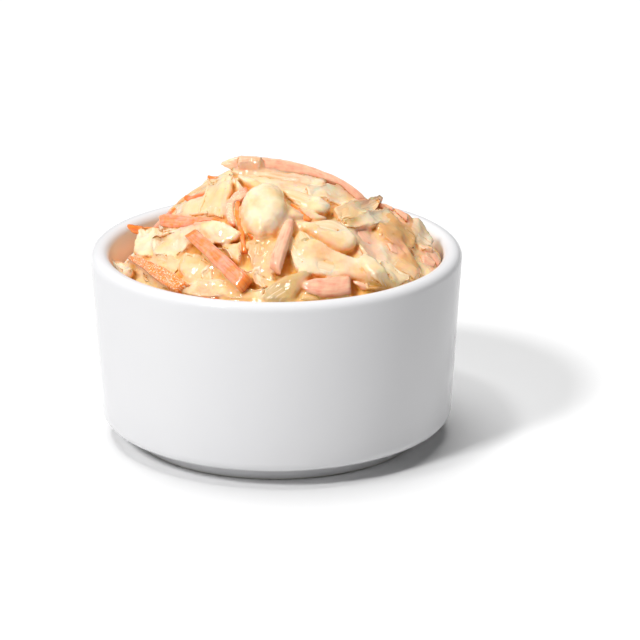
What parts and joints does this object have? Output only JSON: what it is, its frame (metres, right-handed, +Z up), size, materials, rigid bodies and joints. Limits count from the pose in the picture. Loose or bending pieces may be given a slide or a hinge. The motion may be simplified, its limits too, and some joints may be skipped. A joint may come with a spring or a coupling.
{
  "type": "coleslaw in a ramekin",
  "caption": "Creamy coleslaw of dressed cabbage and carrot strips, heaped above the rim of a round white porcelain ramekin with a low foot.",
  "frame": {"origin": "middle of the flat foot ring, on the surface that the ramekin stands on", "axes": "+Z up, out of the ramekin's mouth; -Y towards the front of the heap, +X to the right seen from the front"},
  "size_m": [0.09, 0.09, 0.0693],
  "materials": {
    "porcelain": "smooth white glaze, glossy",
    "dressed_salad": "cream dressing over pale cabbage and salmon-orange carrot, wet and glossy"
  },
  "bodies": {
    "root": {"ramekin": "porcelain", "coleslaw": "dressed_salad"}
  },
  "joints": []
}
